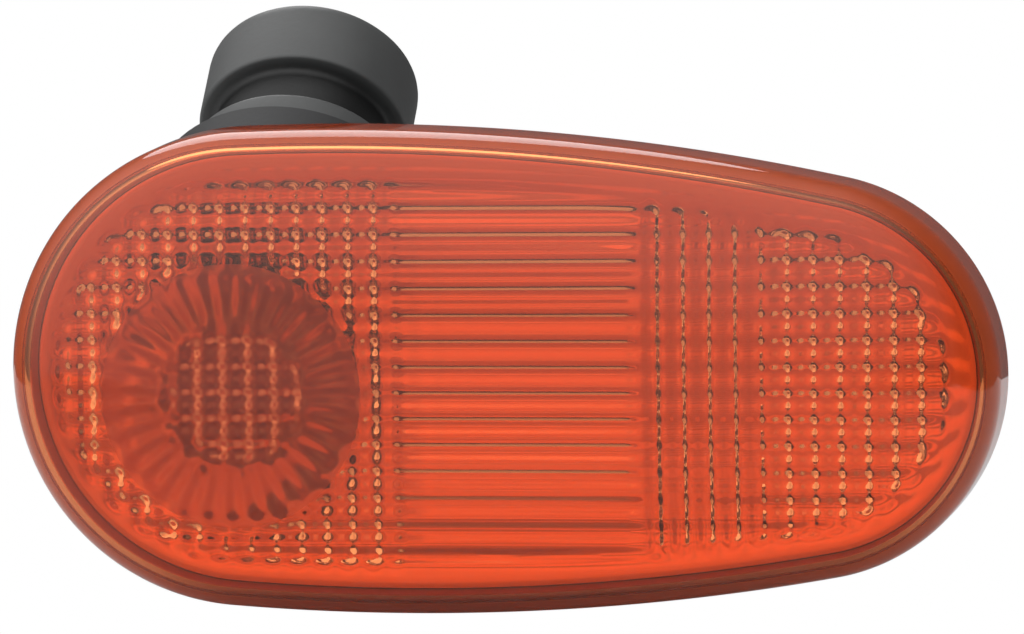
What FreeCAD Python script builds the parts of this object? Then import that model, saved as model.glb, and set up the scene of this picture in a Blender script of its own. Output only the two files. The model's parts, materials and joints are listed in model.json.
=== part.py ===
import FreeCAD, Part
import math
import os

V = FreeCAD.Vector

# Egg-shaped outline of the lens, seen from the front
big_end_radius = 23.1
small_end_radius = 19.4
end_spacing = 53.9
small_end_drop = 1.0
side_radius = 232.0

# Lens shell
lens_depth = 13.5
lens_wall = 2.4
shoulder_radius = 6.0
inner_chamfer = 2.6
shoulder_steps = 6
crown_slope = 17.0
crown_flat_inset = 16.0
crown_steps = 3
optic_wall = 4.8

# Optics on the inside of the lens
optic_margin = 0.6
optic_pitch = 2.5
groove_edge_gap = 0.75
groove_width = 1.1
groove_depth = 0.55
flute_start = -10.2
upright_start = 13.8
end_grid_start = 25.8
ring_outer_radius = 12.6
ring_middle_radius = 9.7
ring_inner_radius = 6.8
ring_groove_width = 1.4
ring_groove_depth = 0.7

# Gasket and housing flange
gasket_thickness = 1.6
gasket_inset = 0.3
gasket_gap = 0.6
flange_thickness = 2.0

# Tub behind the panel
tub_inset = 5.5
tub_depth = 7.0
tub_wall = 1.8
tub_chamfer = 1.4

# Bulb chamber, canted up behind the big end; its axis passes beside the big end's centre
axis_shift = 0.85
axis_drop = 2.2
cant = 37.5
chamber_radius = 13.6
chamber_wall = 1.8
plate_front = 23.0
plate_thickness = 2.0

# Twist lock between chamber plate and bulb holder
neck_radius = 8.2
neck_clearance = 0.3
lug_reach = 2.0
lug_thickness = 2.0
lug_half_angle = 16.0
notch_spare_angle = 3.0
twist_angle = 45.0
slide_gap = 0.1
stop_angle = 8.0
stop_gap_angle = 1.0
stop_height = 1.6

# Stiffening gussets behind the tub
gusset_length = 24.0
gusset_height = 9.0
gusset_thickness = 1.6
gusset_offset = 4.0
gusset_lift = 6.0

# Panel hook and spring clip
panel_grip = 2.3
hook_reach = 3.6
hook_thickness = 2.0
hook_width = 11.0
hook_chamfer = 1.0
clip_thickness = 0.5
clip_width = 9.0
clip_tab_length = 6.5
clip_spread = 3.0
clip_bend_radius = 1.0
clip_edge_gap = 0.4
stake_radius = 1.4
stake_height = 1.4
stake_clearance = 0.1

# Reflector insert
reflector_thickness = 1.0
reflector_clearance = 0.3
dish_clearance = 0.5
dish_mouth = 6.0
dish_middle_draw = 1.4
dish_middle = 12.0
dish_throat_radius = 6.8
dish_end = 18.2

# Bulb holder
neck_front = 19.5
seal_thickness = 1.9
seal_width = 2.4
seal_gap = 0.05
holder_flange_radius = 11.0
holder_flange_thickness = 2.8
groove_radius = 8.8
groove_length = 5.9
barrel_radius = 10.6
barrel_length = 8.35
barrel_chamfer = 1.6
groove_chamfer = 0.6
pocket_depth = 7.2
pocket_spare = 0.35
socket_width = 14.0
socket_height = 10.4
socket_depth = 8.5

# Contacts
contact_spacing = 6.5
blade_thickness = 0.8
blade_width = 2.8
blade_reach = 6.5
tongue_thickness = 0.5
tongue_width = 2.6
tongue_front = 21.0
tongue_join = 30.8
contact_join_length = 1.2

# Wedge bulb
bulb_radius = 5.0
bulb_length = 20.3
bulb_wall = 0.6
bulb_tip_steps = 4
bulb_neck_radius = 4.2
bulb_neck_length = 4.5
bulb_cavity_length = 14.5
bulb_cavity_chamfer = 3.0
wedge_width = 9.5
wedge_thickness = 2.5
wedge_length = 6.5
lead_radius = 0.25
lead_spacing = 4.8
lead_gap = 0.05
lead_fold_length = 4.0
lead_tab_width = 0.8
filament_distance = 12.7
filament_radius = 0.4

# Reach of a cutting body past the face it cuts, and how near a corner must lie to count as on a face
tool_reach = 1.0
near = 0.01

# Places worked out from the sizes above
flange_back = -gasket_thickness
flange_front = flange_back - flange_thickness
crown_front = flange_back - lens_depth
optic_face = crown_front + optic_wall
big_x = -(end_spacing + small_end_radius - big_end_radius) / 2
small_x = big_x + end_spacing
axis_x = big_x - axis_shift
plate_back = plate_front + plate_thickness
seal_front = plate_back + seal_gap
seal_back = seal_front + seal_thickness
holder_flange_back = seal_back + holder_flange_thickness
barrel_front = holder_flange_back + groove_length
holder_end = barrel_front + barrel_length
socket_floor = holder_end - socket_depth
wedge_end = neck_front + wedge_length
tub_floor = tub_depth - tub_wall
chamber_start = tub_floor - chamber_radius
dish_mouth_radius = chamber_radius - chamber_wall - dish_clearance
dish_middle_radius = dish_mouth_radius - dish_middle_draw
small_end_wall = small_x + small_end_radius - tub_inset
big_end_wall = big_x - big_end_radius + tub_inset


def egg_face(inset, y):
    """Egg outline drawn in by an inset: two end arcs and two long side arcs that meet smoothly."""
    ends = [(V(big_x, y, 0), big_end_radius), (V(small_x, y, -small_end_drop), small_end_radius)]
    link = ends[1][0].sub(ends[0][0])
    span = link.Length
    along = V(link).normalize()
    up = V(-along.z, 0, along.x)
    reach = [side_radius - radius for _, radius in ends]
    shift = (span ** 2 + reach[0] ** 2 - reach[1] ** 2) / (2 * span)
    drop = math.sqrt(reach[0] ** 2 - shift ** 2)
    touch = {}
    crest = {}
    for side in (1, -1):
        centre = ends[0][0] + along * shift - up * (side * drop)
        for end in (0, 1):
            outward = ends[end][0].sub(centre).normalize()
            touch[side, end] = ends[end][0] + outward * (ends[end][1] - inset)
        crest[side] = centre + up * (side * (side_radius - inset))
    tip = [ends[0][0] - along * (big_end_radius - inset), ends[1][0] + along * (small_end_radius - inset)]
    arcs = [
        Part.Arc(touch[-1, 0], tip[0], touch[1, 0]),
        Part.Arc(touch[1, 0], crest[1], touch[1, 1]),
        Part.Arc(touch[1, 1], tip[1], touch[-1, 1]),
        Part.Arc(touch[-1, 1], crest[-1], touch[-1, 0]),
    ]
    return Part.Face(Part.Wire([arc.toShape() for arc in arcs]))


def egg_prism(inset, front, back):
    return egg_face(inset, front).extrude(V(0, back - front, 0))


def slab(x0, x1, y0, y1, z0, z1):
    return Part.makeBox(x1 - x0, y1 - y0, z1 - z0, V(x0, y0, z0))


def on_axis(shape):
    """Carries a shape from its own axis (local Z) to the canted bulb axis behind the big end."""
    lie = FreeCAD.Placement(V(axis_x, 0, -axis_drop), FreeCAD.Rotation(V(1, 0, 0), cant - 90))
    turned = shape.copy()
    turned.Placement = lie.multiply(shape.Placement)
    return turned


def behind(shape, y):
    """Part of a shape that lies behind a plane across the lamp."""
    box = shape.BoundBox
    box.enlarge(tool_reach)
    return shape.common(slab(box.XMin, box.XMax, y, box.YMax, box.ZMin, box.ZMax))


def rod(radius, start, end):
    return Part.makeCylinder(radius, end - start, V(0, 0, start))


def sector(inner, outer, start, end, middle_angle, half_angle):
    """Block bounded by two radii, two distances along the axis and two angles."""
    corners = [V(inner, 0, start), V(outer, 0, start), V(outer, 0, end), V(inner, 0, end), V(inner, 0, start)]
    block = Part.Face(Part.makePolygon(corners)).revolve(V(0, 0, 0), V(0, 0, 1), 2 * half_angle)
    block.rotate(V(0, 0, 0), V(0, 0, 1), middle_angle - half_angle)
    return block


def groove_along(start, end):
    """Straight V-groove between two points of the optic face, opening to the inside of the lens."""
    along = end.sub(start).normalize()
    across = along.cross(V(0, 1, 0))
    lift = V(0, groove_depth, 0)
    corners = [start - lift, start + lift + across * groove_width, start + lift - across * groove_width]
    return Part.Face(Part.makePolygon(corners + corners[:1])).extrude(end.sub(start))


def ring_groove(radius):
    """Round V-groove on the optic face, about the bulb's place."""
    deep = V(axis_x + radius, optic_face - ring_groove_depth, -axis_drop)
    rise = V(0, 2 * ring_groove_depth, 0)
    corners = [deep, deep + rise + V(ring_groove_width, 0, 0), deep + rise - V(ring_groove_width, 0, 0)]
    face = Part.Face(Part.makePolygon(corners + corners[:1]))
    return face.revolve(V(axis_x, 0, -axis_drop), V(0, 1, 0), 360)


def zone_grooves(zone, upright, level):
    """Grooves at the optic pitch over one zone of the optic face, upright, level or both."""
    box = zone.BoundBox
    lines = []
    if upright:
        first = math.ceil((box.XMin + groove_edge_gap) / optic_pitch)
        last = math.floor((box.XMax - groove_edge_gap) / optic_pitch)
        for step in range(first, last + 1):
            x = step * optic_pitch
            lines.append((V(x, optic_face, box.ZMin - tool_reach), V(x, optic_face, box.ZMax + tool_reach)))
    if level:
        first = math.ceil((box.ZMin + groove_edge_gap) / optic_pitch)
        last = math.floor((box.ZMax - groove_edge_gap) / optic_pitch)
        for step in range(first, last + 1):
            z = step * optic_pitch
            lines.append((V(box.XMin - tool_reach, optic_face, z), V(box.XMax + tool_reach, optic_face, z)))
    grooves = []
    for start, end in lines:
        for edge in Part.makeLine(start, end).common(zone).Edges:
            grooves.append(groove_along(edge.Vertexes[0].Point, edge.Vertexes[-1].Point))
    return grooves


def optic_strip(zone, start, end):
    """Part of the optic face between two places along the length."""
    strip = slab(start, end, optic_face - tool_reach, optic_face + tool_reach, -big_end_radius, big_end_radius)
    return zone.common(strip)


def lens_optics():
    """Grid at both ends, level flutes and upright flutes between, round grooves about the bulb."""
    zone = egg_face(lens_wall + inner_chamfer + optic_margin, optic_face)
    left = big_x - big_end_radius
    right = small_x + small_end_radius
    base = V(axis_x, optic_face - tool_reach, -axis_drop)
    disc = Part.makeCylinder(ring_outer_radius, 2 * tool_reach, base, V(0, 1, 0))
    core = Part.makeCylinder(ring_inner_radius - ring_groove_width, 2 * tool_reach, base, V(0, 1, 0))
    tools = zone_grooves(optic_strip(zone, left, flute_start).cut(disc), True, True)
    tools += zone_grooves(zone.common(core), True, True)
    tools += zone_grooves(optic_strip(zone, flute_start, upright_start), False, True)
    tools += zone_grooves(optic_strip(zone, upright_start, end_grid_start), True, False)
    tools += zone_grooves(optic_strip(zone, end_grid_start, right), True, True)
    tools += [ring_groove(radius) for radius in (ring_inner_radius, ring_middle_radius, ring_outer_radius)]
    return tools


def lens_sections():
    """Outlines of the lens from rim to front: a round shoulder that runs on into a shallow dome."""
    slope = math.radians(crown_slope)
    dome_inset = shoulder_radius * (1 - math.sin(slope))
    dome_rise = math.tan(slope) * (crown_flat_inset - dome_inset) / 2
    sections = [(0, flange_back)]
    for step in range(shoulder_steps + 1):
        turn = (math.pi / 2 - slope) * step / shoulder_steps
        inset = shoulder_radius * (1 - math.cos(turn))
        lift = shoulder_radius * (math.cos(slope) - math.sin(turn))
        sections.append((inset, crown_front + dome_rise + lift))
    for step in range(1, crown_steps + 1):
        share = step / crown_steps
        inset = dome_inset + (crown_flat_inset - dome_inset) * share
        sections.append((inset, crown_front + dome_rise * (1 - share) ** 2))
    return [egg_face(inset, y).OuterWire for inset, y in sections]


def front_edges(shape, limit):
    return [edge for edge in shape.Edges if all(vertex.Y < limit for vertex in edge.Vertexes)]


def lens():
    outer = Part.makeLoft(lens_sections(), True, True)
    inner = egg_prism(lens_wall, optic_face, flange_back)
    inner = inner.makeChamfer(inner_chamfer, front_edges(inner, flange_front - tool_reach))
    return outer.cut(inner).cut(lens_optics())


def panel_gasket():
    return egg_prism(gasket_inset, flange_back, 0).cut(egg_prism(tub_inset - gasket_gap, flange_back, 0))


def gusset(z):
    """Triangular web between the bulb chamber and the back of the tub."""
    root = axis_x + chamber_radius - chamber_wall
    base = tub_depth - tub_wall / 2
    corners = [V(root, base, z), V(root + gusset_length, base, z), V(root, base + gusset_height, z)]
    return Part.Face(Part.makePolygon(corners + corners[:1])).extrude(V(0, 0, gusset_thickness))


def panel_hook():
    start = big_end_wall - hook_reach
    end = big_end_wall + tub_wall
    hook = slab(start, end, panel_grip, panel_grip + hook_thickness, -hook_width / 2, hook_width / 2)
    tip = [e for e in hook.Edges if all(v.X < start + near and v.Y > panel_grip + near for v in e.Vertexes)]
    return hook.makeChamfer(hook_chamfer, tip)


def chamber_lock():
    """Stop blocks on the inner side of the chamber plate, one before and one after each lug's travel."""
    inner = neck_radius + neck_clearance + slide_gap
    outer = chamber_radius - chamber_wall / 2
    front = plate_front - stop_height
    before = -lug_half_angle - stop_gap_angle - stop_angle / 2
    after = twist_angle + lug_half_angle + notch_spare_angle + stop_angle / 2
    blocks = []
    for turn in (0, 180):
        for angle in (before, after):
            blocks.append(sector(inner, outer, front, plate_front, turn + angle, stop_angle / 2))
    return blocks


def lock_hole():
    """Round hole in the chamber plate with two notches for the holder's lugs."""
    through = (plate_front - tool_reach, plate_back + tool_reach)
    hole = rod(neck_radius + neck_clearance, *through)
    notch_end = neck_radius + lug_reach + neck_clearance
    for turn in (0, 180):
        half = lug_half_angle + notch_spare_angle
        hole = hole.fuse(sector(neck_radius - lug_reach, notch_end, *through, turn + twist_angle, half))
    return hole


def housing():
    flange = egg_prism(lens_wall, flange_front, flange_back)
    tub = egg_prism(tub_inset, flange_back, tub_depth)
    back_edges = [e for e in tub.Edges if all(v.Y > tub_depth - near for v in e.Vertexes)]
    tub = tub.makeChamfer(tub_chamfer, back_edges)
    chamber = behind(on_axis(rod(chamber_radius, chamber_start, plate_back)), tub_floor)
    stake_x = small_end_wall - clip_tab_length / 2
    stake = Part.makeCylinder(stake_radius, stake_height + tub_wall / 2,
                              V(stake_x, tub_depth - tub_wall / 2, -small_end_drop), V(0, 1, 0))
    webs = [gusset(gusset_lift + side * gusset_offset) for side in (-1, 1)]
    solid = flange.fuse([tub, chamber, stake, panel_hook()] + webs)
    tub_void = egg_prism(tub_inset + tub_wall, crown_front, tub_floor)
    chamber_void = on_axis(rod(chamber_radius - chamber_wall, chamber_start, plate_front))
    chamber_void = behind(chamber_void, tub_floor - tool_reach)
    solid = solid.cut([tub_void, chamber_void])
    solid = solid.fuse([on_axis(block) for block in chamber_lock()])
    return solid.cut(on_axis(lock_hole())).removeSplitter()


def dish_form(thickness):
    """Dish about the bulb, drawn in from its mouth to its throat in two slopes."""
    stations = [(0, chamber_start)]
    stations += [(dish_mouth_radius - thickness, place) for place in (chamber_start, dish_mouth)]
    stations += [(dish_middle_radius - thickness, dish_middle), (dish_throat_radius - thickness, dish_end)]
    stations += [(0, dish_end), (0, chamber_start)]
    corners = [V(radius, 0, place) for radius, place in stations]
    return Part.Face(Part.makePolygon(corners)).revolve(V(0, 0, 0), V(0, 0, 1), 360)


def reflector():
    """Tray that lines the tub, with a flange under the lens's shoulder and a dish about the bulb."""
    front = flange_front - reflector_thickness
    floor = tub_floor - reflector_thickness
    flange = egg_prism(lens_wall + reflector_clearance, front, flange_front)
    inset = tub_inset + tub_wall + reflector_clearance
    tray = egg_prism(inset, front, tub_floor)
    tray_void = egg_prism(inset + reflector_thickness, crown_front, floor)
    dish = behind(on_axis(dish_form(0)), floor)
    dish_void = behind(on_axis(dish_form(reflector_thickness)), floor - tool_reach)
    return tray.fuse([flange, dish]).cut([tray_void, dish_void]).removeSplitter()


def retaining_clip():
    """Tab staked to the back of the tub, bent over its edge into a leaf that spreads towards the panel."""
    z0 = -small_end_drop - clip_width / 2
    edge = small_end_wall + clip_edge_gap
    tab_x = edge - clip_tab_length - clip_edge_gap
    radius = clip_bend_radius + clip_thickness
    bend = V(edge - clip_bend_radius, tub_depth - clip_bend_radius, z0)
    tip = V(edge + clip_spread, panel_grip, z0)
    side = radius * math.sqrt(0.5)
    outer = [
        Part.makeLine(V(tab_x, tub_depth + clip_thickness, z0), bend + V(0, radius, 0)),
        Part.Arc(bend + V(0, radius, 0), bend + V(side, side, 0), bend + V(radius, 0, 0)).toShape(),
        Part.makeLine(bend + V(radius, 0, 0), tip + V(clip_thickness, 0, 0)),
        Part.makeLine(tip + V(clip_thickness, 0, 0), tip),
    ]
    inside = clip_bend_radius * math.sqrt(0.5)
    inner = [
        Part.makeLine(tip, bend + V(clip_bend_radius, 0, 0)),
        Part.Arc(bend + V(clip_bend_radius, 0, 0), bend + V(inside, inside, 0),
                 bend + V(0, clip_bend_radius, 0)).toShape(),
        Part.makeLine(bend + V(0, clip_bend_radius, 0), V(tab_x, tub_depth, z0)),
        Part.makeLine(V(tab_x, tub_depth, z0), V(tab_x, tub_depth + clip_thickness, z0)),
    ]
    strip = Part.Face(Part.Wire(outer + inner)).extrude(V(0, 0, clip_width))
    stake_x = small_end_wall - clip_tab_length / 2
    hole_base = V(stake_x, tub_depth - tool_reach, -small_end_drop)
    hole = Part.makeCylinder(stake_radius + stake_clearance, tub_depth, hole_base, V(0, 1, 0))
    return strip.cut(hole)


def contact(side):
    """Blade in the plug socket that runs forward into a tongue beside the bulb's wedge."""
    x = side * contact_spacing / 2
    inside = wedge_thickness / 2 + 2 * lead_radius + 2 * lead_gap
    far = inside + tongue_thickness
    low, high = sorted((side * inside, side * far))
    blade_low, blade_high = sorted((side * far, side * (far - blade_width)))
    tongue = slab(x - tongue_width / 2, x + tongue_width / 2, low, high, tongue_front,
                  tongue_join + contact_join_length)
    blade = slab(x - blade_thickness / 2, x + blade_thickness / 2, blade_low, blade_high, tongue_join,
                 socket_floor + blade_reach)
    return tongue.fuse(blade).removeSplitter()


def bulb_holder():
    """Turned body with neck, lugs, flange, finger groove and barrel, hollow at both ends."""
    body = rod(neck_radius, neck_front, seal_back)
    body = body.fuse([rod(holder_flange_radius, seal_back, holder_flange_back),
                      rod(groove_radius, holder_flange_back, barrel_front)])
    barrel = rod(barrel_radius, barrel_front, holder_end)
    ends = [e for e in barrel.Edges if all(v.Z > holder_end - near for v in e.Vertexes)]
    body = body.fuse(barrel.makeChamfer(barrel_chamfer, ends)).removeSplitter()
    rings = [e for e in body.Edges if e.BoundBox.ZLength < near]
    body = body.makeChamfer(groove_chamfer, [e for e in rings if abs(e.BoundBox.XMax - groove_radius) < near])
    lug_back = plate_front - slide_gap
    for turn in (0, 180):
        body = body.fuse(sector(neck_radius - lug_reach, neck_radius + lug_reach, lug_back - lug_thickness,
                                lug_back, turn, lug_half_angle))
    tongue_room = wedge_thickness / 2 + 2 * lead_radius + 2 * lead_gap + tongue_thickness + pocket_spare
    half = wedge_width / 2 + pocket_spare
    pocket = slab(-half, half, -tongue_room, tongue_room, neck_front - tool_reach,
                  neck_front + pocket_depth)
    socket = slab(-socket_width / 2, socket_width / 2, -socket_height / 2, socket_height / 2,
                  socket_floor, holder_end + tool_reach)
    return body.cut([pocket, socket, contact(-1), contact(1)]).removeSplitter()


def holder_seal():
    ring = rod(neck_radius + neck_clearance + seal_width, seal_front, seal_back)
    return ring.cut(rod(neck_radius + slide_gap, seal_front, seal_back))


def bulb_lead(side):
    """Wire from the filament down the pinch, flattened at its foot and folded up on the wedge."""
    x = side * lead_spacing / 2
    top = neck_front - filament_distance
    foot = wedge_end + lead_gap + lead_radius
    out = side * (wedge_thickness / 2 + lead_gap + lead_radius)
    stem = Part.makeCylinder(lead_radius, foot - top, V(x, 0, top))
    half = lead_tab_width / 2
    low, high = sorted((-side * half, out + side * lead_radius))
    step = slab(x - half, x + half, low, high, foot - lead_radius, foot + lead_radius)
    fold = slab(x - half, x + half, out - lead_radius, out + lead_radius, foot - lead_fold_length,
                foot + lead_radius)
    return stem.fuse([step, fold]).removeSplitter()


def bulb_filament():
    reach = lead_spacing / 2 - lead_radius - lead_gap
    start = V(-reach, 0, neck_front - filament_distance)
    return Part.makeCylinder(filament_radius, 2 * reach, start, V(1, 0, 0))


def bulb_glass():
    """Blown envelope with a round tip, drawn in to a neck and pressed flat into a wedge."""
    tip = neck_front - bulb_length
    shoulder = neck_front - bulb_neck_length
    corners = [V(0, 0, neck_front), V(0, 0, tip)]
    for step in range(1, bulb_tip_steps + 1):
        turn = math.radians(90 * step / bulb_tip_steps)
        corners.append(V(bulb_radius * math.sin(turn), 0, tip + bulb_radius * (1 - math.cos(turn))))
    corners += [V(bulb_radius, 0, shoulder), V(bulb_neck_radius, 0, neck_front), V(0, 0, neck_front)]
    envelope = Part.Face(Part.makePolygon(corners)).revolve(V(0, 0, 0), V(0, 0, 1), 360)
    wedge = slab(-wedge_width / 2, wedge_width / 2, -wedge_thickness / 2, wedge_thickness / 2,
                 shoulder, wedge_end)
    cavity_radius = bulb_radius - bulb_wall
    cavity_end = tip + bulb_cavity_length
    cavity = rod(cavity_radius, tip + 2 * bulb_wall, cavity_end)
    tip_edges = [e for e in cavity.Edges if e.BoundBox.ZMax < tip + bulb_radius]
    cavity = cavity.makeChamfer(bulb_cavity_chamfer, tip_edges)
    return envelope.fuse(wedge).cut([cavity, bulb_lead(-1), bulb_lead(1)])


pieces = {
    "lens": lens(),
    "panel_gasket": panel_gasket(),
    "housing": housing(),
    "reflector": reflector(),
    "retaining_clip": retaining_clip(),
    "bulb_holder": on_axis(bulb_holder()),
    "holder_seal": on_axis(holder_seal()),
    "contact_left": on_axis(contact(-1)),
    "contact_right": on_axis(contact(1)),
    "bulb_glass": on_axis(bulb_glass()),
    "bulb_filament": on_axis(bulb_filament()),
    "bulb_lead_left": on_axis(bulb_lead(-1)),
    "bulb_lead_right": on_axis(bulb_lead(1)),
}

os.makedirs("parts", exist_ok=True)
for name, shape in pieces.items():
    shape.exportStep("parts/" + name + ".step")
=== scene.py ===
import json
import math

import bmesh
import bpy
import numpy as np
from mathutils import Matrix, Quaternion, Vector
from mathutils.geometry import delaunay_2d_cdt


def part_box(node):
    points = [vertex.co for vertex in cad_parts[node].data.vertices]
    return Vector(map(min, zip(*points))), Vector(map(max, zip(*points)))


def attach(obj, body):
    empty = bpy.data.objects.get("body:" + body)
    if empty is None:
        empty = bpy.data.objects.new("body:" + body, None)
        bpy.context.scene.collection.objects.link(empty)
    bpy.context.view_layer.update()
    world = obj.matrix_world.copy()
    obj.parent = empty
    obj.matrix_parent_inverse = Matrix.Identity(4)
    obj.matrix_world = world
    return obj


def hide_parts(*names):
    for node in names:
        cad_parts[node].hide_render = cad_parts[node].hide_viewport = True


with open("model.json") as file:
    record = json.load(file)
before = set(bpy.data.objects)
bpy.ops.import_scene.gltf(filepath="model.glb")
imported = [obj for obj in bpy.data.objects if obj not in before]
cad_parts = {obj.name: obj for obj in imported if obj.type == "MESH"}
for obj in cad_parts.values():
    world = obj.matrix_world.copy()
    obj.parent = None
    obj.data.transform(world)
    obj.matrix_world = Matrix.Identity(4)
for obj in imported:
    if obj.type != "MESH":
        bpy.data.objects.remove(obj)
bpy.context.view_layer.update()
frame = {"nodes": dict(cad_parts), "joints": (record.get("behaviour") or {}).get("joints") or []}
nodes = frame["nodes"]

# Places that the frame gives, in millimetres: the holder's axis and the reach of the lens
MM = 0.001
twist = frame["joints"][0]
lens_low, lens_high = (np.array(corner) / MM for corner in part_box("lens"))
AXIS_Y, AXIS_Z = twist["axis"][1], twist["axis"][2]
HUB_X, HUB_Z = twist["pos_m"][0] / MM, twist["pos_m"][2] / MM
CROWN_Y, RIM_Y = lens_low[1], lens_high[1]

# Egg-shaped outline of the lens
BIG_R, SPACING, DROP, SIDE_R = 23.1, 53.9, 1.0, 232.0
BIG_X = lens_low[0] + BIG_R
SMALL_X = BIG_X + SPACING
SMALL_R = lens_high[0] - SMALL_X
BIG_COUNT, SMALL_COUNT, SIDE_COUNT = 260, 220, 190

# Lens shell
SHOULDER_R, CROWN_SLOPE, CROWN_FLAT = 6.0, math.radians(17.0), 16.0
LENS_WALL, INNER_R, EDGE_BREAK, SEAT_GAP = 2.3, 2.0, 0.25, 0.08
LENS_RIM_Y = RIM_Y - SEAT_GAP
OPTIC_WALL = 4.8
OPTIC_Y = CROWN_Y + OPTIC_WALL
SHOULDER_STEPS, DOME_STEPS, TOP_STEPS, INNER_STEPS = 15, 13, (0.33, 0.67, 1), 8

# Optics on the inside of the lens
PITCH, SAMPLE = 2.5, 0.25
FLUTE_X, UPRIGHT_X, GRID_X = -10.25, 13.75, 25.75
RING_IN, RING_OUT, SPOKES = 6.8, 12.6, 32
GRID_RISE, FLUTE_RISE, UPRIGHT_RISE, CORE_RISE = 0.62, 0.72, 0.68, 0.70
RING_RISE, SPOKE_RISE, LEVEL_SHARE = 0.75, 0.32, 0.5
BEAD_RINGS, SPOKE_STEPS = 21, 10
BLEND, RIM_FADE = 1.4, 2.2

# Panel gasket
GASKET_OUT, GASKET_IN, GASKET_ROUND, GASKET_STEPS = 0.3, 4.9, 0.2, 4

# Bulb holder: radii, and distances along its axis
NECK_R, LUG_R, FLANGE_R, GROOVE_R, BARREL_R = 8.2, 10.2, 11.0, 8.8, 10.6
NECK_S, LUG_S, PLATE_S, FLANGE_S = 19.5, 20.9, 22.9, 26.95
GROOVE_S, BARREL_S, END_S = 29.75, 35.65, 44.0
LUG_HALF = math.radians(16.0)
POCKET, POCKET_S = (5.1, 2.75), 26.7
SOCKET, SOCKET_S = (7.0, 5.2), 35.5
END_ROUND, CORNER_ROUND, GROOVE_ROUND, MOUTH_BREAK = 1.6, 0.4, 0.8, 0.2
HOLDER_COUNT, END_STEPS, CORNER_STEPS = 240, 9, 5
GROOVE_MARGIN = 0.25

# Filament
FILAMENT_S, FILAMENT_REACH, COIL_R, COIL_WIRE, COIL_TURNS = 6.8, 2.1, 0.33, 0.07, 11
COIL_STEPS, WIRE_SIDES = 30, 8

# Nearness at which points are welded and slivers closed, in metres
WELD, SLIVER = 2e-6, 1e-7

# Nearness of points that count as one on the optic face, in millimetres, and the least divisor
SAME_POINT, TINY = 1e-5, 1e-6


# Building meshes

def add_piece(name, points, faces, materials, body, crease, picks=None):
    """Mesh from points in millimetres and faces, welded where points meet, that rides on a CAD body.

    The picks say which of the materials each face takes; without them all take the first."""
    mesh = bpy.data.meshes.new(name)
    mesh.from_pydata((points * MM).tolist(), [], faces)
    for material in materials:
        mesh.materials.append(material)
    if picks is not None:
        mesh.polygons.foreach_set("material_index", picks)
    skin = bmesh.new()
    skin.from_mesh(mesh)
    bmesh.ops.remove_doubles(skin, verts=skin.verts, dist=WELD)
    bmesh.ops.dissolve_degenerate(skin, edges=skin.edges, dist=SLIVER)
    bmesh.ops.recalc_face_normals(skin, faces=skin.faces)
    skin.to_mesh(mesh)
    skin.free()
    mesh.polygons.foreach_set("use_smooth", np.ones(len(mesh.polygons), bool))
    mesh.set_sharp_from_angle(angle=math.radians(crease))
    piece = bpy.data.objects.new(name, mesh)
    bpy.context.scene.collection.objects.link(piece)
    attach(piece, body)
    return piece


def grid_faces(rows, columns):
    """Quads of a grid whose columns close on themselves."""
    row, column = np.meshgrid(np.arange(rows - 1), np.arange(columns), indexing="ij")
    after = (column + 1) % columns
    near, far = row * columns, (row + 1) * columns
    return np.stack([near + column, near + after, far + after, far + column], axis=-1).reshape(-1, 4).tolist()


def on_axis(x, y, s):
    """Points given about the holder's axis, carried to the canted axis behind the big end."""
    return np.stack([HUB_X + x, y * AXIS_Z + s * AXIS_Y, HUB_Z - y * AXIS_Y + s * AXIS_Z], axis=-1)


# Lens

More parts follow.
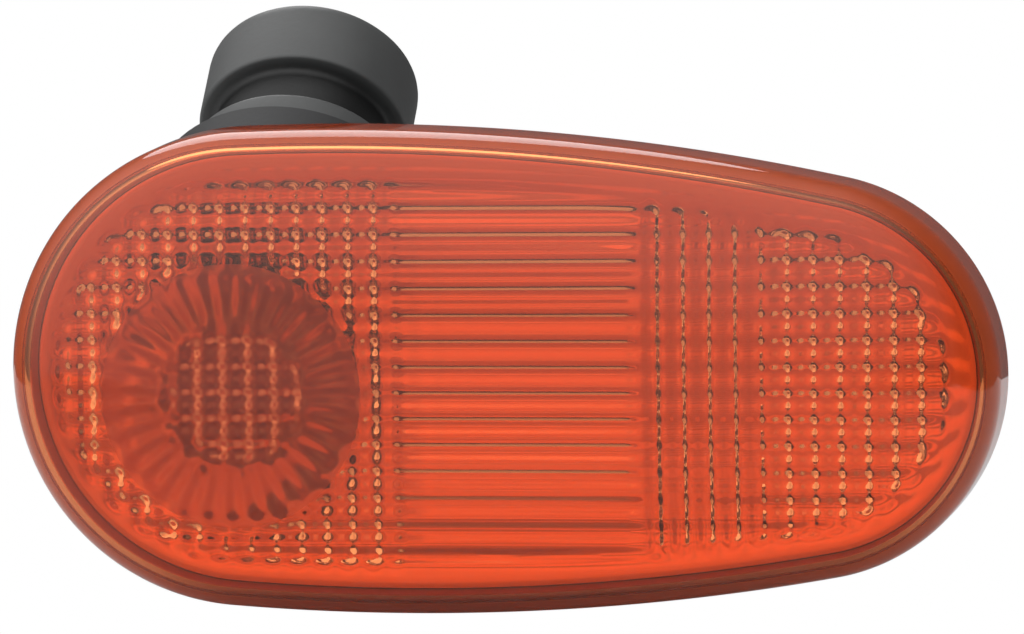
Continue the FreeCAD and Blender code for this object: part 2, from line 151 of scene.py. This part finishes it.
class Egg:
    """Egg outline as samples along two end arcs and two long side arcs that meet smoothly.

    Each sample keeps its arc's centre, radius and outward direction, so that an outline drawn in by an
    inset is centre + direction * (radius - inset), and the spine point that it shrinks to."""

    def __init__(self):
        big, small = np.array([BIG_X, 0.0]), np.array([SMALL_X, -DROP])
        span = np.hypot(*(small - big))
        along = (small - big) / span
        up = np.array([-along[1], along[0]])
        shift = (span ** 2 + (SIDE_R - BIG_R) ** 2 - (SIDE_R - SMALL_R) ** 2) / (2 * span)
        fall = math.sqrt((SIDE_R - BIG_R) ** 2 - shift ** 2)
        upper, lower = big + along * shift - up * fall, big + along * shift + up * fall
        top_big, top_small = self.angle(big - upper), self.angle(small - upper)
        low_big, low_small = self.angle(big - lower), self.angle(small - lower)
        arcs = [
            (big, BIG_R, low_big + 2 * math.pi, top_big, BIG_COUNT, big, big),
            (upper, SIDE_R, top_big, top_small, SIDE_COUNT, big, small),
            (small, SMALL_R, top_small, low_small, SMALL_COUNT, small, small),
            (lower, SIDE_R, low_small, low_big, SIDE_COUNT, small, big),
        ]
        centres, radii, ways, spines = [], [], [], []
        for centre, radius, start, end, count, spine_start, spine_end in arcs:
            share = np.arange(count)[:, None] / count
            turn = start + (end - start) * share[:, 0]
            centres.append(np.repeat(centre[None], count, axis=0))
            radii.append(np.full(count, radius))
            ways.append(np.stack([np.cos(turn), np.sin(turn)], axis=-1))
            spines.append(spine_start + (spine_end - spine_start) * share)
        self.centre, self.radius = np.concatenate(centres), np.concatenate(radii)
        self.way, self.spine = np.concatenate(ways), np.concatenate(spines)

    @staticmethod
    def angle(vector):
        return math.atan2(vector[1], vector[0])

    def outline(self, inset, to_spine=0.0):
        """Outline in x and z, drawn in by an inset and then by a share of the way to the spine."""
        edge = self.centre + self.way * (self.radius - inset)[:, None]
        return edge + (self.spine - edge) * to_spine

    def ring(self, inset, y, to_spine=0.0):
        """Outline as points at a distance y."""
        plane = self.outline(inset, to_spine)
        return np.stack([plane[:, 0], np.full(len(plane), y), plane[:, 1]], axis=-1)

    def depth(self, points, inset):
        """How far each point lies inside the outline; less than nothing outside it."""
        corner = self.outline(inset)
        edge = np.roll(corner, -1, axis=0) - corner
        inward = np.stack([edge[:, 1], -edge[:, 0]], axis=-1) / np.hypot(edge[:, 0], edge[:, 1])[:, None]
        nearest = np.full(len(points), np.inf)
        for start, way in zip(corner, inward):
            nearest = np.minimum(nearest, (points - start) @ way)
        return nearest


def cushion(offset, pitch):
    """One round cushion to each pitch, as a raised cosine: 1 in the middle, 0 in the valleys."""
    return 0.5 + 0.5 * np.cos(2 * math.pi * offset / pitch)


def fade(distance, width):
    """Rises smoothly from 0 at a border to 1 at a width from it."""
    share = np.clip(distance / width, 0, 1)
    return share * share * (3 - 2 * share)


def blend(near, far, distance):
    """Passes smoothly from one relief to another over a border, given the distance past that border."""
    return near + (far - near) * fade(distance + BLEND, 2 * BLEND)


def optic_relief(x, z):
    """Height of the optics above the lens's inner face.

    A grid of cushions at both ends, level flutes and then upright flutes between them, each passing
    smoothly into the next; about the bulb a bead whose height falls with the square of the distance from
    its middle circle, with spokes across it, and a deeper grid inside it."""
    level, upright = cushion(z, PITCH), cushion(x, PITCH)
    grid = GRID_RISE * (level + upright)
    relief = blend(grid, FLUTE_RISE * level, x - FLUTE_X)
    relief = blend(relief, UPRIGHT_RISE * (upright + LEVEL_SHARE * level), x - UPRIGHT_X)
    relief = blend(relief, grid, x - GRID_X)
    radius = np.hypot(x - HUB_X, z - HUB_Z)
    middle, half = (RING_IN + RING_OUT) / 2, (RING_OUT - RING_IN) / 2
    round_bead = np.clip(1 - ((radius - middle) / half) ** 2, 0, 1)
    spokes = cushion(np.arctan2(z - HUB_Z, x - HUB_X), 2 * math.pi / SPOKES)
    bead = round_bead * (RING_RISE + SPOKE_RISE * spokes)
    core = blend(CORE_RISE * (level + upright), bead, radius - RING_IN)
    return np.where(radius < middle, core, blend(bead, relief, radius - RING_OUT))


def optic_face(egg):
    """Inner face with the optics, as points and triangles.

    The points lie on a square lattice, on circles through the bead, so that it is round, and on the
    outline; triangles join them inside the outline, and the relief fades out towards it."""
    outline = egg.outline(LENS_WALL + INNER_R)
    low, high = outline.min(axis=0), outline.max(axis=0)
    steps = [np.arange(math.ceil(low[k] / SAMPLE), high[k] / SAMPLE) * SAMPLE for k in (0, 1)]
    lattice = np.stack(np.meshgrid(*steps, indexing="ij"), axis=-1).reshape(-1, 2)
    radius = np.hypot(lattice[:, 0] - HUB_X, lattice[:, 1] - HUB_Z)
    off_bead = (radius < RING_IN - SAMPLE / 2) | (radius > RING_OUT + SAMPLE / 2)
    lattice = lattice[off_bead & (egg.depth(lattice, LENS_WALL + INNER_R) > SAMPLE / 2)]
    turn = np.linspace(0, 2 * math.pi, SPOKE_STEPS * SPOKES, endpoint=False)
    circle = np.stack([np.cos(turn), np.sin(turn)], axis=-1)
    circles = [(HUB_X, HUB_Z) + r * circle for r in np.linspace(RING_IN, RING_OUT, BEAD_RINGS)]
    plane = [Vector(point) for point in np.concatenate([outline, lattice] + circles).tolist()]
    inside_only = 1
    points, _, faces, _, _, _ = delaunay_2d_cdt(plane, [], [range(len(outline))], inside_only, SAME_POINT)
    flat = np.array([tuple(point) for point in points])
    rise = optic_relief(flat[:, 0], flat[:, 1]) * fade(egg.depth(flat, LENS_WALL + INNER_R), RIM_FADE)
    return np.stack([flat[:, 0], OPTIC_Y + rise, flat[:, 1]], axis=-1), faces


def lens_moulding(clear, frosted, stippled):
    """Lens as one closed skin.

    The outside runs up the skirt, round a shoulder of constant radius and over a dome that rises with
    the square of the distance from its flat top; the inside is the optic face, a rounded corner and a
    plain wall. The wall and the rim are frosted, the bead about the bulb and the grid in it stippled."""
    egg = Egg()
    dome_inset = SHOULDER_R * (1 - math.sin(CROWN_SLOPE))
    dome_rise = math.tan(CROWN_SLOPE) * (CROWN_FLAT - dome_inset) / 2
    outside = [egg.ring(EDGE_BREAK, LENS_RIM_Y), egg.ring(0, LENS_RIM_Y - EDGE_BREAK)]
    for turn in np.linspace(0, math.pi / 2 - CROWN_SLOPE, SHOULDER_STEPS):
        y = CROWN_Y + dome_rise + SHOULDER_R * (math.cos(CROWN_SLOPE) - math.sin(turn))
        outside.append(egg.ring(SHOULDER_R * (1 - math.cos(turn)), y))
    for share in np.linspace(0, 1, DOME_STEPS)[1:]:
        inset = dome_inset + (CROWN_FLAT - dome_inset) * share
        outside.append(egg.ring(inset, CROWN_Y + dome_rise * (1 - share) ** 2))
    outside += [egg.ring(CROWN_FLAT, CROWN_Y, share) for share in TOP_STEPS]
    inside = []
    for turn in np.linspace(math.pi / 2, 0, INNER_STEPS):
        inset = LENS_WALL + INNER_R * (1 - math.cos(turn))
        inside.append(egg.ring(inset, OPTIC_Y + INNER_R * (1 - math.sin(turn))))
    inside += [egg.ring(LENS_WALL, LENS_RIM_Y), outside[0]]
    points, faces = optic_face(egg)
    middles = np.array([points[list(face)].mean(axis=0) for face in faces])
    round_bulb = np.hypot(middles[:, 0] - HUB_X, middles[:, 2] - HUB_Z) < RING_OUT
    columns = len(egg.radius)
    for rings in (outside, inside):
        faces = faces + (np.array(grid_faces(len(rings), columns)) + len(points)).tolist()
        points = np.concatenate([points] + rings)
    materials = [clear, frosted, stippled]
    wall_and_rim = -2 * columns
    picks = np.zeros(len(faces), int)
    picks[:len(round_bulb)][round_bulb] = materials.index(stippled)
    picks[wall_and_rim:] = materials.index(frosted)
    piece = add_piece("lens_moulding", points, faces, materials, "lamp_body", 30, picks)
    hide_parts("lens")


# Panel gasket

def gasket_ring(material):
    """Gasket as one closed skin: a flat ring with the lens's outline and rounded outer edges."""
    egg = Egg()
    rings = [egg.ring(GASKET_IN, RIM_Y)]
    for turn in np.linspace(0, math.pi / 2, GASKET_STEPS):
        inset = GASKET_OUT + GASKET_ROUND * (1 - math.sin(turn))
        rings.append(egg.ring(inset, RIM_Y + GASKET_ROUND * (1 - math.cos(turn))))
    for turn in np.linspace(math.pi / 2, 0, GASKET_STEPS):
        inset = GASKET_OUT + GASKET_ROUND * (1 - math.sin(turn))
        rings.append(egg.ring(inset, -GASKET_ROUND * (1 - math.cos(turn))))
    rings += [egg.ring(GASKET_IN, 0.0), rings[0]]
    faces = grid_faces(len(rings), len(egg.radius))
    piece = add_piece("gasket_ring", np.concatenate(rings), faces, [material], "lamp_body", 40)
    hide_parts("panel_gasket")


# Bulb holder and filament

def rounded(start, corner, end, count):
    """Points of a curve that rounds a corner between two points, each (radius, distance)."""
    share = np.linspace(0, 1, count)[:, None]
    start, corner, end = np.array(start), np.array(corner), np.array(end)
    return ((1 - share) ** 2 * start + 2 * share * (1 - share) * corner + share ** 2 * end).tolist()


def corner(radius, s, along_radius, along_s, size, count=CORNER_STEPS):
    """Rounded corner at a radius and distance, from one side of it to the other."""
    return rounded((radius + along_radius * size, s), (radius, s), (radius, s + along_s * size), count)


def paint_groove_shade(piece):
    """Attribute of painted shade in the finger groove: rises from 0 at the barrel's radius to 1 at the bottom
    of the groove, where it darkens the holder's colour.
    """
    place = np.zeros(3 * len(piece.data.vertices))
    piece.data.vertices.foreach_get("co", place)
    place = place.reshape(-1, 3) / MM - (HUB_X, 0.0, HUB_Z)
    s = place @ np.array([0.0, AXIS_Y, AXIS_Z])
    radius = np.sqrt(np.maximum((place ** 2).sum(axis=1) - s ** 2, 0))
    inside = (s > GROOVE_S - GROOVE_MARGIN) & (s < BARREL_S + GROOVE_MARGIN)
    depth = np.clip((BARREL_R - radius) / (BARREL_R - GROOVE_R), 0, 1) * inside
    painted_groove_shade = piece.data.attributes.new("painted_groove_shade", "FLOAT", "POINT")
    painted_groove_shade.data.foreach_set("value", depth)


def holder_moulding(material):
    """Holder as one closed skin round its axis.

    Each station is a radius for every angle and a distance along the axis; the pocket and the plug
    socket are box-shaped, and the lugs stand out over part of the turn."""
    turn = (np.arange(HOLDER_COUNT) + 0.5) * 2 * math.pi / HOLDER_COUNT
    cos, sin = np.abs(np.cos(turn)), np.abs(np.sin(turn))

    def box(half):
        return np.minimum(half[0] / np.maximum(cos, TINY), half[1] / np.maximum(sin, TINY))

    pocket, socket = box(POCKET), box(SOCKET)
    lug = np.where(cos > math.cos(LUG_HALF), LUG_R, NECK_R)
    stations = [(0 * turn, POCKET_S), (pocket, POCKET_S), (pocket, NECK_S + MOUTH_BREAK),
                (pocket + MOUTH_BREAK, NECK_S)]
    profile = corner(NECK_R, NECK_S, -1, 1, CORNER_ROUND) + [(NECK_R, LUG_S)]
    stations += [(turn * 0 + r, s) for r, s in profile]
    stations += [(lug, LUG_S), (lug, PLATE_S)]
    profile = [(NECK_R, PLATE_S), (NECK_R, FLANGE_S)]
    profile += corner(FLANGE_R, FLANGE_S, -1, 1, CORNER_ROUND)
    profile += corner(FLANGE_R, GROOVE_S, -1, -1, CORNER_ROUND)[::-1]
    profile += corner(GROOVE_R, GROOVE_S, 1, 1, GROOVE_ROUND)
    profile += corner(GROOVE_R, BARREL_S, 1, -1, GROOVE_ROUND)[::-1]
    profile += corner(BARREL_R, BARREL_S, -1, 1, CORNER_ROUND)
    profile += corner(BARREL_R, END_S, -1, -1, END_ROUND, END_STEPS)[::-1]
    stations += [(turn * 0 + r, s) for r, s in profile]
    stations += [(socket + MOUTH_BREAK, END_S), (socket, END_S - MOUTH_BREAK), (socket, SOCKET_S),
                 (0 * turn, SOCKET_S)]
    rings = [on_axis(r * np.cos(turn), r * np.sin(turn), turn * 0 + s) for r, s in stations]
    faces = grid_faces(len(rings), HOLDER_COUNT)
    points = np.concatenate(rings)
    piece = add_piece("holder_moulding", points, faces, [material], "holder_body", 32)
    # painted shade in the finger groove, carried as a point attribute
    paint_groove_shade(piece)
    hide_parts("bulb_holder")


def filament_coil(material):
    """Coil between the bulb's leads: a small circle carried along a helix."""
    count, around = COIL_STEPS * COIL_TURNS, WIRE_SIDES
    along = np.linspace(-1, 1, count)
    phase = along * COIL_TURNS * math.pi
    out = np.stack([along * 0, np.cos(phase), np.sin(phase)], axis=-1)
    centre = np.stack([FILAMENT_REACH * along, along * 0, along * 0 + FILAMENT_S], axis=-1) + COIL_R * out
    ring = np.arange(around) * 2 * math.pi / around
    wire = np.cos(ring)[None, :, None] * out[:, None] + np.sin(ring)[None, :, None] * np.array([1.0, 0, 0])
    tube = centre[:, None] + COIL_WIRE * wire
    caps = [np.repeat(centre[end][None, None], around, axis=1) for end in (0, -1)]
    points = np.concatenate([caps[0], tube, caps[1]]).reshape(-1, 3)
    points = on_axis(points[:, 0], points[:, 1], points[:, 2])
    faces = grid_faces(count + 2, around)
    piece = add_piece("filament_coil", points, faces, [material], "holder_body", 60)
    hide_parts("bulb_filament")


# Shader node groups

def moulded_grain_group():
    """Fine moulded texture in object space: a colour that varies a little and is darkened by painted shade
    where the groove's shade attribute is set, a roughness and a normal."""
    group = bpy.data.node_groups.new("moulded_grain", "ShaderNodeTree")
    face = group.interface
    colour = face.new_socket("Colour", in_out="INPUT", socket_type="NodeSocketColor")
    colour.default_value = (0.05, 0.05, 0.05, 1)
    plain = {"Grain per metre": 900.0, "Grain height": 0.15, "Roughness": 0.45, "Mottle": 0.25,
             "Painted groove shade": 0.0}
    for name, value in plain.items():
        socket = face.new_socket(name, in_out="INPUT", socket_type="NodeSocketFloat")
        socket.default_value = value
    face.new_socket("Colour", in_out="OUTPUT", socket_type="NodeSocketColor")
    face.new_socket("Roughness", in_out="OUTPUT", socket_type="NodeSocketFloat")
    face.new_socket("Normal", in_out="OUTPUT", socket_type="NodeSocketVector")
    new = group.nodes.new
    link = group.links.new

    def combine(operation, first, second):
        """Output of a math node on two values, each a plain number or another node's output."""
        node = new("ShaderNodeMath")
        node.operation = operation
        for socket, value in zip(node.inputs, (first, second)):
            if isinstance(value, float):
                socket.default_value = value
            else:
                link(value, socket)
        return node.outputs[0]

    given, out = new("NodeGroupInput"), new("NodeGroupOutput")
    place = new("ShaderNodeTexCoord")
    fine, broad = new("ShaderNodeTexNoise"), new("ShaderNodeTexNoise")
    fine.inputs["Detail"].default_value = 3.0
    broad.inputs["Scale"].default_value = 140.0
    broad.inputs["Detail"].default_value = 4.0
    link(place.outputs["Object"], fine.inputs["Vector"])
    link(place.outputs["Object"], broad.inputs["Vector"])
    link(given.outputs["Grain per metre"], fine.inputs["Scale"])
    bump = new("ShaderNodeBump")
    bump.inputs["Distance"].default_value = 0.0002
    link(given.outputs["Grain height"], bump.inputs["Strength"])
    link(fine.outputs["Fac"], bump.inputs["Height"])
    # painted shade: this attribute marks the finger groove, whose colour is darkened below
    painted_groove_shade = new("ShaderNodeAttribute")
    painted_groove_shade.attribute_name = "painted_groove_shade"
    shift = combine("SUBTRACT", broad.outputs["Fac"], 0.5)
    lift = combine("ADD", combine("MULTIPLY", shift, given.outputs["Mottle"]), 1.0)
    # painted shade: darkens the colour in the finger groove by the given strength
    shade = combine("MULTIPLY", painted_groove_shade.outputs["Fac"], given.outputs["Painted groove shade"])
    strength = combine("MULTIPLY", lift, combine("SUBTRACT", 1.0, shade))
    tint = new("ShaderNodeVectorMath")
    tint.operation = "SCALE"
    link(given.outputs["Colour"], tint.inputs[0])
    link(strength, tint.inputs["Scale"])
    link(tint.outputs[0], out.inputs["Colour"])
    link(combine("MULTIPLY", given.outputs["Roughness"], lift), out.inputs["Roughness"])
    link(bump.outputs["Normal"], out.inputs["Normal"])
    return group


grain = moulded_grain_group()


# Materials

def principled(name, **values):
    """Material with one Principled shader whose plain values are set by name."""
    material = bpy.data.materials.new(name)
    material.use_nodes = True
    shader = material.node_tree.nodes["Principled BSDF"]
    for key, value in values.items():
        shader.inputs[key.replace("_", " ")].default_value = value
    return material


def grained(name, colour, scale, height, roughness, mottle, painted_shade_strength=0.0):
    """Moulded or rubber material whose colour, roughness and normal come from the grain group."""
    material = principled(name)
    tree = material.node_tree
    shader = tree.nodes["Principled BSDF"]
    effect = tree.nodes.new("ShaderNodeGroup")
    effect.node_tree = grain
    effect.inputs["Colour"].default_value = (*colour, 1)
    effect.inputs["Grain per metre"].default_value = scale
    effect.inputs["Grain height"].default_value = height
    effect.inputs["Roughness"].default_value = roughness
    effect.inputs["Mottle"].default_value = mottle
    effect.inputs["Painted groove shade"].default_value = painted_shade_strength
    tree.links.new(effect.outputs["Colour"], shader.inputs["Base Color"])
    tree.links.new(effect.outputs["Roughness"], shader.inputs["Roughness"])
    tree.links.new(effect.outputs["Normal"], shader.inputs["Normal"])
    return material


amber = principled("amber_lens", Base_Color=(0.90, 0.25, 0.08, 1), Roughness=0.05, IOR=1.49,
                   Transmission_Weight=0.97, Metallic=0.0)
frosted_amber = principled("amber_lens_frosted", Base_Color=(0.95, 0.42, 0.17, 1), Roughness=0.60,
                           IOR=1.49, Transmission_Weight=0.35, Metallic=0.0)
stippled_amber = principled("amber_lens_stippled", Base_Color=(0.94, 0.25, 0.10, 1), Roughness=0.12,
                            IOR=1.49, Transmission_Weight=0.60, Metallic=0.0)
metallised = principled("metallised", Base_Color=(0.90, 0.90, 0.90, 1), Metallic=1.0, Roughness=0.12)
clear_glass = principled("clear_glass", Base_Color=(0.97, 0.98, 0.98, 1), Roughness=0.02, IOR=1.5,
                         Transmission_Weight=1.0, Metallic=0.0)
spring_steel = principled("spring_steel", Base_Color=(0.48, 0.48, 0.47, 1), Metallic=1.0, Roughness=0.33)
tinned = principled("tinned_contact", Base_Color=(0.72, 0.69, 0.60, 1), Metallic=1.0, Roughness=0.30)
wire = principled("wire", Base_Color=(0.36, 0.35, 0.34, 1), Metallic=1.0, Roughness=0.40)
black = grained("black_moulding", colour=(0.022, 0.022, 0.023), scale=1500, height=0.12,
                roughness=0.48, mottle=0.35)
rubber = grained("gasket_rubber", colour=(0.016, 0.016, 0.016), scale=2200, height=0.20,
                 roughness=0.75, mottle=0.40)
# the holder's finger groove is darkened by painted shade at this strength
grey = grained("holder_moulding", colour=(0.078, 0.080, 0.080), scale=1300, height=0.14,
               roughness=0.45, mottle=0.45, painted_shade_strength=0.95)

lens_moulding(amber, frosted_amber, stippled_amber)
gasket_ring(rubber)
holder_moulding(grey)
filament_coil(wire)
finishes = {"housing": black, "reflector": metallised, "retaining_clip": spring_steel,
            "holder_seal": rubber, "contact_left": tinned, "contact_right": tinned,
            "bulb_glass": clear_glass, "bulb_lead_left": wire, "bulb_lead_right": wire}
for name, material in finishes.items():
    for slot in nodes[name].material_slots:
        slot.material = material


# Floor, light and camera

def add_floor():
    """Paper under the lamp: plain white to the camera, a pale grey to everything else."""
    mesh = bpy.data.meshes.new("floor")
    half, level = 0.2, -0.0246
    corners = [(-half, -half, level), (half, -half, level), (half, half, level), (-half, half, level)]
    mesh.from_pydata(corners, [], [(0, 1, 2, 3)])
    material = principled("floor_paper", Base_Color=(0.66, 0.66, 0.66, 1), Roughness=0.9)
    tree = material.node_tree
    shader = tree.nodes["Principled BSDF"]
    path = tree.nodes.new("ShaderNodeLightPath")
    white = tree.nodes.new("ShaderNodeEmission")
    white.inputs["Color"].default_value = (1, 1, 1, 1)
    mix = tree.nodes.new("ShaderNodeMixShader")
    tree.links.new(path.outputs["Is Camera Ray"], mix.inputs[0])
    tree.links.new(shader.outputs[0], mix.inputs[1])
    tree.links.new(white.outputs[0], mix.inputs[2])
    tree.links.new(mix.outputs[0], tree.nodes["Material Output"].inputs["Surface"])
    mesh.materials.append(material)
    floor = bpy.data.objects.new("floor", mesh)
    bpy.context.scene.collection.objects.link(floor)


def add_world(towards, dim, bright):
    """Studio surround: white to the camera, and to everything else a soft fall from bright to dim round
    a direction."""
    world = bpy.data.worlds.new("studio")
    bpy.context.scene.world = world
    world.use_nodes = True
    tree = world.node_tree
    new, link = tree.nodes.new, tree.links.new
    place = new("ShaderNodeTexCoord")
    facing = new("ShaderNodeVectorMath")
    facing.operation = "DOT_PRODUCT"
    facing.inputs[1].default_value = Vector(towards).normalized()
    link(place.outputs["Generated"], facing.inputs[0])
    fall = new("ShaderNodeMapRange")
    fall.interpolation_type = "SMOOTHSTEP"
    fall.inputs["From Min"].default_value = 0.0
    fall.inputs["From Max"].default_value = 1.0
    fall.inputs["To Min"].default_value = dim
    fall.inputs["To Max"].default_value = bright
    link(facing.outputs["Value"], fall.inputs["Value"])
    sky = tree.nodes["Background"]
    sky.inputs["Color"].default_value = (1, 1, 1, 1)
    link(fall.outputs["Result"], sky.inputs["Strength"])
    path = new("ShaderNodeLightPath")
    white = new("ShaderNodeBackground")
    white.inputs["Color"].default_value = (1, 1, 1, 1)
    mix = new("ShaderNodeMixShader")
    link(path.outputs["Is Camera Ray"], mix.inputs[0])
    link(sky.outputs[0], mix.inputs[1])
    link(white.outputs[0], mix.inputs[2])
    link(mix.outputs[0], tree.nodes["World Output"].inputs["Surface"])


def add_light(name, place, target, size, power):
    """Round soft light that faces its target."""
    light = bpy.data.lights.new(name, "AREA")
    light.shape = "DISK"
    light.size = size
    light.energy = power
    lamp = bpy.data.objects.new(name, light)
    lamp.location = place
    lamp.rotation_euler = (Vector(target) - Vector(place)).to_track_quat("-Z", "Y").to_euler()
    bpy.context.scene.collection.objects.link(lamp)


def add_camera(azimuth, elevation, roll, distance, target, focal):
    """Camera at a distance from its target; azimuth 0 looks along +Y, and roll turns the picture."""
    turn, rise = math.radians(azimuth), math.radians(elevation)
    away = Vector((math.sin(turn) * math.cos(rise), -math.cos(turn) * math.cos(rise), math.sin(rise)))
    data = bpy.data.cameras.new("camera")
    data.lens = focal
    data.sensor_width = 36.0
    data.clip_start = 0.01
    camera = bpy.data.objects.new("camera", data)
    camera.location = Vector(target) + away * distance
    level = (-away).to_track_quat("-Z", "Y")
    camera.rotation_euler = (level @ Quaternion((0, 0, 1), math.radians(roll))).to_euler()
    bpy.context.scene.collection.objects.link(camera)
    bpy.context.scene.camera = camera


add_floor()
add_world(towards=(-0.40, -0.50, 0.76), dim=0.15, bright=1.56)
add_light("top", place=(-0.25, 0.72, 0.62), target=(0, 0, 0), size=0.55, power=1.9)
add_camera(azimuth=9.6, elevation=6.0, roll=-1.0, distance=1.0,
           target=(0.00042, -0.00494, 0.00474), focal=364.2)
bpy.context.scene.view_settings.view_transform = "Standard"
